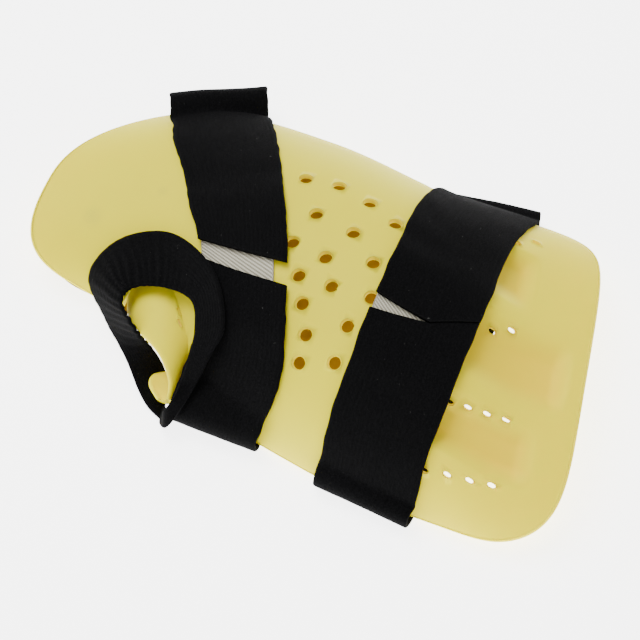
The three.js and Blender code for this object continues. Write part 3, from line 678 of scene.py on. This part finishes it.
def makeTrough():
    # Each line along the trough starts where it leaves the shell's inner face.
    values = troughValues
    ends = values["sections"][0, 0], values["sections"][-1, 0]
    tries = np.linspace(*ends, 220)
    share = np.linspace(0, 1, values["columns"])
    along, column = np.meshgrid(tries, share, indexing="ij")

    def turnAt(a, s):
        upper, lower = troughValue(4, a), troughValue(5, a)
        return (upper + (lower - upper) * s) * degrees

    spots = troughPoint(along, turnAt(along, column), 0.5 * values["wall"])
    station = spots[..., 0] / halfLength
    near = stationValue(1, station) * boardValues["width"]
    far = stationValue(2, station) * boardValues["width"]
    sine = (spots[..., 1] - (near + far) / 2) / (0.5 * (far - near)) * math.sin(reach)
    sine = np.clip(sine, -0.999, 0.999)
    roof = domePoint(station, np.arcsin(sine) / reach)[..., 2] - 0.5 * boardValues["wall"]
    clear = (spots[..., 2] > roof) | (spots[..., 1] < near + 1.0)
    start = tries[np.argmax(clear, axis=0)]
    for _ in range(3):
        start = np.convolve(np.pad(start, 1, mode="edge"), (0.25, 0.5, 0.25), "valid")
    rows = np.linspace(0, 1, values["rows"])[:, None]
    along = start[None, :] + (ends[1] - start[None, :]) * rows
    turn = turnAt(along, share[None, :])
    inside = troughPoint(along, turn, values["wall"])
    outside = troughPoint(along, turn, 0.0)
    normals = unit(outside - inside)
    half, outerHalf = values["holeCells"]
    span = np.arange(-outerHalf, outerHalf + 1)
    ring = np.maximum(np.abs(span)[:, None], np.abs(span)[None, :])
    share = smooth((outerHalf - ring) / (outerHalf - half))[..., None]
    opened = []
    for place, angle in values["holes"]:
        centre = troughPoint(np.array(place), np.array(angle * degrees), 0.0)
        distances = np.linalg.norm(outside - centre, axis=-1)
        row, column = np.unravel_index(np.argmin(distances), distances.shape)
        block = (slice(row - outerHalf, row + outerHalf + 1),
                 slice(column - outerHalf, column + outerHalf + 1))
        up = normals[row, column]
        local = outside[block] - outside[row, column]
        u = unit(local[-1, outerHalf] - local[0, outerHalf])
        v = np.cross(up, u)
        bend = np.arctan2(local @ v, local @ u)[..., None]
        radius = (values["holeRadius"] + values["holeRounding"]) * ring[..., None] / half
        circled = centre + radius * (np.cos(bend) * u + np.sin(bend) * v) - values["wall"] * up
        inside[block] = circled * share + inside[block] * (1 - share)
        normals[block] = unit(up * share + normals[block] * (1 - share))
        opened.append((row, column, centre))
    edgeSteps = values["edgeSteps"]
    points, faces, size = bandMesh(inside, normals, values["wall"], edgeSteps=edgeSteps)
    sides, around = values["columns"], size[1]
    back = 2 * sides + edgeSteps - 1
    keep = np.ones(len(faces), bool)
    cells = np.arange((values["rows"] - 1) * around).reshape(-1, around)
    parts, walls, made = [points], [], len(points)
    for row, column, centre in opened:
        rows = slice(row - half, row + half)
        keep[cells[rows, column - half:column + half]] = False
        keep[cells[rows, back - column - half:back - column + half]] = False
        top = ringNumbers((row, column), half, around)
        low = top // around * around + back - top % around
        down = unit(points[top] - points[low])
        out = unit((centre - points[top]) - ((centre - points[top]) * down).sum(axis=1)[:, None] * down)
        previous = top
        for loop in rimRings(points[top], down, out, values["wall"], values["holeRounding"],
                             boardValues["rimPower"], values["rimSteps"]):
            parts.append(loop)
            current = made + np.arange(len(loop))
            walls += quadStrip(previous, current, True).tolist()
            made += len(loop)
            previous = current
        walls += quadStrip(previous, low, True).tolist()
    faces = [face for face, stays in zip(faces, keep) if stays] + walls
    used = np.zeros(made, bool)
    for face in faces:
        used[face] = True
    renumber = np.cumsum(used) - 1
    faces = [[int(renumber[v]) for v in face] for face in faces]
    # Painted shade for the material: the trough's inner face a little, its hole walls fully.
    paintedDentShade = np.zeros(made)
    paintedDentShade[:len(points)].reshape(size)[:, sides + edgeSteps:] = 0.25
    paintedDentShade[len(points):] = 1.0
    piece = makePiece("moulded_thumb_trough", np.concatenate(parts)[used], faces, plastic,
                      ["splint_board"])
    addDentShade(piece, paintedDentShade[used])
    return piece


makeTrough()
print("stage: thumb trough made")


strapValues = {
    "width": 50.0, "thickness": 2.2, "patchWidth": 40.0, "patchLength": 44.0, "patchThickness": 1.2,
    "rows": 330, "sides": 25, "farFoldInset": 7.0, "nearFoldInset": 3.5, "liftReach": 6.0,
    "farSteps": 13, "nearSteps": 10,  # points of a thread over each side of the dome
    "waviness": 0.4, "waveLength": 14.0, "slack": 0.16, "slackLength": 34.0,
    # Line: across and along of the middle line over the dome. Gap: its middle, width, slant
    # and taper, the share of the width where it closes, and how far it bends from there.
    # Folds: clearance to the shell, height and lean. Spread: how much wider one edge lies.
    "wrist": {
        "line": np.array([(-0.80, -0.095), (-0.60, -0.085), (-0.38, -0.14), (-0.17, -0.215),
                          (0.13, -0.36), (0.42, -0.49), (0.66, -0.565)]),
        "gapAcross": -0.235, "gap": 9.0, "gapSlant": 12.0, "gapTaper": 0.0, "patchShift": -3.6,
        "farFold": 0.0, "farFoldHeight": 29.0, "farLean": 29.0,
        "nearFold": 6.9, "nearFoldHeight": 12.0, "nearLean": 1.0, "nearPinch": 0.92, "seed": 11,
        "spread": 3.5, "gapClose": 0.5, "gapBend": 0.0},
    "finger": {
        "line": np.array([(-0.90, 0.41), (-0.60, 0.42), (-0.38, 0.435), (-0.17, 0.445),
                          (0.13, 0.46), (0.42, 0.47), (0.70, 0.506), (0.90, 0.54)]),
        "gapAcross": -0.125, "gap": 1.6, "gapSlant": -5.0, "gapTaper": 7.0, "patchShift": -3.6,
        "farFold": 3.2, "farFoldHeight": 7.0, "farLean": 8.0,
        "nearFold": 1.2, "nearFoldHeight": 10.5, "nearLean": 5.0, "nearPinch": 1.0, "seed": 23,
        "spread": 0.0, "gapClose": 0.08, "gapBend": 24.0},
}


def domeSeat(along, across, offset):
    return domePoint(along, across) + offset[..., None] * surfaceNormal(domePoint, along, across)


def besideLine(along, across, runAlong, runAcross, distance):
    # A step sideways from the line, measured on the dome.
    step = 0.01
    perAlong = domePoint(along + step, across) - domePoint(along - step, across)
    perAcross = domePoint(along, across + step) - domePoint(along, across - step)
    perAlong, perAcross = (np.linalg.norm(d, axis=-1) / (2 * step) for d in (perAlong, perAcross))
    u, v = runAlong * perAlong, runAcross * perAcross
    size = np.hypot(u, v)
    return along - distance * v / size / perAlong, across + distance * u / size / perAcross


def lineAlong(strap, across):
    return throughRows(strap["line"][:, 0], strap["line"][:, 1], across)


def perAcrossAtGap(strap):
    step, along = 0.05, lineAlong(strap, strap["gapAcross"])
    ends = [domePoint(along, strap["gapAcross"] + s * step) for s in (1, -1)]
    return np.linalg.norm(ends[0] - ends[1]) / (2 * step)


def patchShare(strap):
    return strapValues["patchLength"] / perAcrossAtGap(strap)


def strapRise(strap, across):
    gap = boardValues["seatGap"]
    high = 2 * gap + strapValues["patchThickness"]
    past = np.abs(across - strap["gapAcross"]) - patchShare(strap) / 2 - 0.04
    return high + (gap - high) * smooth(past / 0.12)


def lineOverDome(strap, start, end, steps, side, rise):
    line = strap["line"]
    half = 0.5 * (line[-1, 0] - line[0, 0]) / 12  # a twelfth of the line gives its direction
    share = np.linspace(0, 1, steps + 1)[:, None]
    across = start + (end - start) * share + 0 * side
    runAlong = lineAlong(strap, across - half) - lineAlong(strap, across + half)
    along, besides = besideLine(lineAlong(strap, across), across, runAlong, -2 * half + 0 * across, side)
    return domeSeat(along, besides, rise(across))


def foldPlace(leave, edgeColumn, clearance, lean, side):
    sign = 1 if edgeColumn == 2 else -1
    out = np.array([-math.sin(lean * degrees), sign * math.cos(lean * degrees)])
    rim = sign * float(stationValue(edgeColumn, leave[0] / halfLength)) * boardValues["width"]
    edgeY = sign * (rim + clearance + strapValues["thickness"])
    distance = (edgeY - leave[1]) / out[1]
    x = leave[0] + distance * out[0] + side * abs(out[1])
    return x, edgeY - sign * side * out[0], out


def strapThreads(strap, side):
    # From the strap's end at the gap over the dome, round the far fold, under the shell,
    # round the near fold and back over the dome to its other end.
    perShare = perAcrossAtGap(strap)
    halfGap = 0.5 * strap["gap"] / perShare
    sideShare = side / strapValues["width"]
    beyond = np.maximum(sideShare - strap["gapClose"], 0)
    slant = (strap["gapSlant"] * sideShare - strap["gapBend"] * beyond) / perShare
    taper = strap["gapTaper"] * (sideShare - beyond) / perShare
    first, last = strap["line"][-1, 0], strap["line"][0, 0]
    farEnd = strap["gapAcross"] + halfGap - slant - taper
    nearEnd = strap["gapAcross"] - halfGap - slant + taper
    rise = lambda across: strapRise(strap, across)
    farSteps, nearSteps = strapValues["farSteps"], strapValues["nearSteps"]
    run = lineOverDome(strap, farEnd, first, farSteps, side, rise)
    back = lineOverDome(strap, last, nearEnd, nearSteps, side, rise)
    middle = np.array([0.0])
    leaveFar = lineOverDome(strap, strap["gapAcross"], first, farSteps, middle, rise)[-1, 0]
    leaveNear = lineOverDome(strap, last, strap["gapAcross"], nearSteps, middle, rise)[0, 0]
    far = foldPlace(leaveFar, 2, strap["farFold"], strap["farLean"], side)
    near = foldPlace(leaveNear, 1, strap["nearFold"], strap["nearLean"], side * strap["nearPinch"])

    def at(fold, inwards, height):
        x, y, out = fold
        return np.stack([x - inwards * out[0], y - inwards * out[1], height + 0 * side], axis=-1)

    thick, lift = strapValues["thickness"], run[-1]
    knee, heel = strap["farFoldHeight"], strap["nearFoldHeight"]
    leaving = lift + 0.55 * (at(far, 0, knee) - lift)
    leaving[:, 2] = lift[:, 2] + 0.35 * (knee - lift[:, 2]) + thick
    farUnder = at(far, strapValues["farFoldInset"], thick)
    nearUnder = at(near, strapValues["nearFoldInset"], thick)
    under = [farUnder + share * (nearUnder - farUnder) for share in (0, 0.25, 0.5, 0.75, 1)]
    fold = [leaving, at(far, 2, knee * 0.7), at(far, 0, knee * 0.4), *under,
            at(near, 0, heel * 0.5), at(near, 1, heel)]
    return np.concatenate([run, np.stack(fold), back])


def liftedClear(points):
    # Raises points that dip into the dome to the seat gap above it.
    along = points[..., 0] / halfLength
    width = (stationValue(2, along) - stationValue(1, along)) * boardValues["width"]
    slant = boardValues["fingerEndSlant"] * smooth(along) * points[..., 1] / (0.5 * width)
    along = (points[..., 0] + slant) / halfLength
    near, far = (stationValue(c, along) * boardValues["width"] for c in (1, 2))
    share = 2 * (points[..., 1] - (near + far) / 2) / (far - near)
    across = np.arcsin(np.clip(share, -0.995, 0.995) * math.sin(reach)) / reach
    upright = surfaceNormal(domePoint, along, across)[..., 2]
    floor = domePoint(along, across)[..., 2] + boardValues["seatGap"] / upright
    low = (points[..., 2] > 2 * rimHeight) & (np.abs(share) < 0.995)
    low &= floor - points[..., 2] < strapValues["liftReach"]
    points[..., 2] = np.where(low, np.maximum(points[..., 2], floor), points[..., 2])
    return points


def clothUv(size, length, width):
    # Metres along and across the cloth for every vertex of a band.
    u, v = np.meshgrid(np.linspace(0, length * metres, size[0]),
                       np.linspace(0, 2 * width * metres, size[1]), indexing="ij")
    return np.stack([u, v], axis=-1).reshape(-1, 2)


def makeStrap(name, strap, node):
    values = strapValues
    halfWidth = values["width"] / 2 - 0.5 * values["thickness"]
    side = np.linspace(-halfWidth, halfWidth, values["sides"])
    inside = evenSteps(throughPoints(strapThreads(strap, side), 16), values["rows"])
    for _ in range(6):
        inside[1:-1] = 0.25 * inside[:-2] + 0.5 * inside[1:-1] + 0.25 * inside[2:]
    inside = liftedClear(inside)
    normals = gridNormals(inside)
    if normals[0, values["sides"] // 2, 2] < 0:
        normals = -normals
    length = np.linalg.norm(np.diff(inside[:, values["sides"] // 2], axis=0), axis=-1).sum()
    row, column = np.meshgrid(np.linspace(0, length, values["rows"]), side, indexing="ij")
    edges = smooth((np.abs(column) / halfWidth - 0.75) / 0.25)
    widen = unit(np.gradient(inside, axis=1)) * np.sign(column)[..., None]
    uneven = edges * values["waviness"] * ripple(row, column, values["waveLength"], strap["seed"])
    lift = values["slack"] * (1 + ripple(row, column, values["slackLength"], strap["seed"] + 1))
    share = row / length
    spread = strap["spread"] * smooth(share / 0.05) * smooth((0.21 - share) / 0.05)
    uneven += spread * smooth(-column / halfWidth)
    inside = inside + widen * uneven[..., None] + normals * lift[..., None]
    points, faces, size = bandMesh(inside, normals, values["thickness"])
    points[:, 2] = np.maximum(points[:, 2], 0.0)
    piece = makePiece(name, points, faces, loopCloth, [node],
                      clothUv(size, length, values["width"]))
    print("stage:", name, "made,", round(float(length)), "mm long")
    return piece


makeStrap("wrist_loop_strap", strapValues["wrist"], "wrist_strap")
makeStrap("finger_loop_strap", strapValues["finger"], "finger_strap")


def makePatch(name, strap, node):
    # Tape seated on the dome under both ends of its strap.
    values = strapValues
    half = patchShare(strap) / 2
    side = strap["patchShift"] + np.linspace(-0.5, 0.5, 41) * values["patchWidth"]
    middle = strap["gapAcross"]
    gap = boardValues["seatGap"]
    seat = lambda across: gap + 0 * across
    inside = lineOverDome(strap, middle + half, middle - half, 48, side, seat)
    normals = gridNormals(inside)
    if normals[0, 20, 2] < 0:
        normals = -normals
    points, faces, size = bandMesh(inside, normals, values["patchThickness"])
    return makePiece(name, points, faces, hookTape, [node],
                     clothUv(size, values["patchLength"], values["patchWidth"]))


makePatch("wrist_hook_tape", strapValues["wrist"], "wrist_hook_patch")
makePatch("finger_hook_tape", strapValues["finger"], "finger_hook_patch")

thumbValues = {
    "reach": 50.0, "thickness": 2.0, "middleAlong": -0.417, "middleNear": -0.34,
    "rows": 300, "sides": 19, "wrinkle": 0.38, "wrinkleLength": 4.4,
    # window edge x, y, z and outer edge x, y, z, as shares of the reach
    "path": np.array([
        (0.49, 0.07, 0.71, 0.74, 0.13, 0.835), (0.34, 0.34, 0.79, 0.44, 0.60, 0.965),
        (0.00, 0.42, 0.72, -0.16, 0.90, 0.86), (-0.32, 0.34, 0.62, -0.65, 0.74, 0.66),
        (-0.36, 0.20, 0.60, -0.82, 0.44, 0.40), (-0.14, 0.00, 0.56, -0.56, 0.20, 0.16),
        (0.00, 0.00, 0.25, -0.18, -0.14, 0.13), (0.17, -0.10, 0.02, 0.03, -0.36, 0.03),
        (0.28, -0.30, 0.012, 0.20, -0.50, 0.014), (0.355, -0.45, 0.015, 0.37, -0.585, 0.015),
        (0.415, -0.53, 0.12, 0.43, -0.65, 0.06), (0.455, -0.60, 0.27, 0.50, -0.69, 0.17),
        (0.49, -0.50, 0.38, 0.56, -0.57, 0.30), (0.50, -0.335, 0.41, 0.62, -0.335, 0.42),
        (0.51, -0.11, 0.60, 0.69, -0.07, 0.665)]),
}


def thumbEdges(share):
    # Both edges of the thumb strap at shares round its loop.
    values = thumbValues
    path = values["path"].reshape(-1, 2, 3) * values["reach"]
    middle = [values["middleAlong"] * halfLength, values["middleNear"] * boardValues["width"], 0]
    path = path + np.array(middle)
    steps = 40
    curve = throughPoints(np.concatenate([path[-2:], path, path[:3]]), steps)
    places = np.asarray(share) % 1 * len(path) * steps + 2 * steps
    low = places.astype(int)
    part = (places - low)[:, None, None]
    return curve[low] * (1 - part) + curve[low + 1] * part


def makeThumbStrap():
    # Wrinkles run out from the window where the band bends round the thumb.
    values = thumbValues
    share = np.arange(values["rows"]) / values["rows"]
    edges = thumbEdges(share)
    side = np.linspace(0, 1, values["sides"])
    inside = edges[:, :1] + (edges[:, 1:] - edges[:, :1]) * side[None, :, None]
    normals = -gridNormals(np.concatenate([inside[-1:], inside, inside[:1]]))[1:-1]
    steps = np.linalg.norm(inside - np.roll(inside, 1, axis=0), axis=-1)[:, values["sides"] // 2]
    along, length = np.cumsum(steps), steps.sum()
    row, column = np.meshgrid(along, side * 20, indexing="ij")
    bent = smooth((share - 0.05) / 0.1) * smooth((0.5 - share) / 0.12)
    waves = np.sin(row / values["wrinkleLength"] * math.tau + 2.5 * ripple(row, column, 30, 5))
    deep = values["wrinkle"] * bent[:, None] * (1 - 0.75 * side[None, :])
    inside = inside + normals * (deep * (1 + waves) + 0.1 * ripple(row, column, 12, 6))[..., None]
    points, faces, size = bandMesh(inside, normals, values["thickness"], closed=True)
    print("stage: thumb strap made,", round(float(length)), "mm round")
    return makePiece("thumb_loop_strap", points, faces, loopCloth, ["thumb_strap"],
                     clothUv(size, length, 25.0))


def makeThumbPatch():
    edges = thumbEdges(np.linspace(-0.05, 0.024, 41))
    side = np.linspace(-0.06, 0.5, 17)[None, :, None]
    strip = edges[:, :1] + (edges[:, 1:] - edges[:, :1]) * side
    normals = gridNormals(strip)
    seat = strip + boardValues["seatGap"] * normals
    points, faces, size = bandMesh(seat, normals, strapValues["patchThickness"])
    return makePiece("thumb_hook_tape", points, faces, hookTape, ["thumb_hook_patch"],
                     clothUv(size, 25.0, 12.0))


makeThumbStrap()
makeThumbPatch()


studioValues = {
    "azimuth": 22.7, "elevation": 58.0, "distance": 1.2, "focal": 2474 / 640 * 36,
    "aim": (11.0, -10.0, 25.0),  # in the hand's frame
    "aimPixel": (322, 303),
    "floor": (0.9, 0.9, 0.9), "glow": 4.6, "floorSize": 4.0, "floorStep": 0.0001,
    "underEnd": 58.0,
    "underShadeColour": (0.34, 0.19, 0.02),  # a dark sheet under the shell, painted with its shadow and the yellow light that passes through the plastic
    "underInset": 9.0,
    "lights": [("softbox_top", (-0.6, 0.35, 1.3), 0.9, 25.0),
               ("softbox_front", (0.5, -1.2, 1.1), 1.0, 6.0)],
    "worldLight": 0.5,
}


def addFloor(name, rim, colour, glow):
    material, nodes, links = newMaterial(name)
    shader = addNode(nodes, "ShaderNodeBsdfPrincipled")
    shader.inputs["Base Color"].default_value = (*colour, 1)
    shader.inputs["Roughness"].default_value = 0.9
    shader.inputs["Emission Color"].default_value = (1, 1, 1, 1)
    shader.inputs["Emission Strength"].default_value = glow
    putOut(nodes, links, shader)
    mesh = bpy.data.meshes.new(name)
    mesh.from_pydata(rim, [], [list(range(len(rim)))])
    mesh.materials.append(material)
    floor = bpy.data.objects.new(name, mesh)
    bpy.context.collection.objects.link(floor)


def makeStudio():
    values = studioValues
    a, e = values["azimuth"] * degrees, values["elevation"] * degrees
    back = np.array([math.sin(a) * math.cos(e), -math.cos(a) * math.cos(e), math.sin(e)])
    aim = (np.array(values["aim"]) + handShift) * metres
    camera = bpy.data.objects.new("camera", bpy.data.cameras.new("camera"))
    bpy.context.collection.objects.link(camera)
    camera.location = aim + back * values["distance"]
    camera.rotation_euler = Vector(-back).to_track_quat("-Z", "Y").to_euler()
    camera.data.lens = values["focal"]
    camera.data.sensor_width = 36
    camera.data.shift_x = -(values["aimPixel"][0] - 320) / 640
    camera.data.shift_y = (values["aimPixel"][1] - 320) / 640
    camera.data.clip_start, camera.data.clip_end = 0.05, 20
    bpy.context.scene.camera = camera

    rising, ends = np.linspace(-1, 1, 40), np.ones(40)
    p = np.concatenate([rising, ends, -rising, -ends])
    q = np.roll(p, 40)
    edge = domePoint(*trimmed(p, q))
    # A dark sheet painted with the shell's shadow shows through the air holes.
    inwards = unit((edge.mean(axis=0) - edge) * (1, 1, 0))
    edge = edge + values["underInset"] * inwards
    edge[:, 0] = np.minimum(edge[:, 0], values["underEnd"])
    under = (edge + handShift) * metres
    under[:, 2] = -values["floorStep"]
    addFloor("painted_shadow_under_shell", under.tolist(), values["underShadeColour"], 0.0)
    size, low = values["floorSize"], -2 * values["floorStep"]
    square = [(x * size, y * size, low) for x, y in ((-1, -1), (1, -1), (1, 1), (-1, 1))]
    addFloor("floor", square, values["floor"], values["glow"])

    for name, place, size, power in values["lights"]:
        light = bpy.data.objects.new(name, bpy.data.lights.new(name, "AREA"))
        light.data.size, light.data.energy = size, power
        light.location = place
        light.rotation_euler = (Vector((0, 0, 0.02)) - Vector(place)).to_track_quat("-Z", "Y").to_euler()
        bpy.context.collection.objects.link(light)
    world = bpy.data.worlds.new("studio")
    world.use_nodes = True
    background = world.node_tree.nodes["Background"]
    background.inputs["Color"].default_value = (1, 1, 1, 1)
    background.inputs["Strength"].default_value = values["worldLight"]
    bpy.context.scene.world = world


makeStudio()
print("stage: studio made")
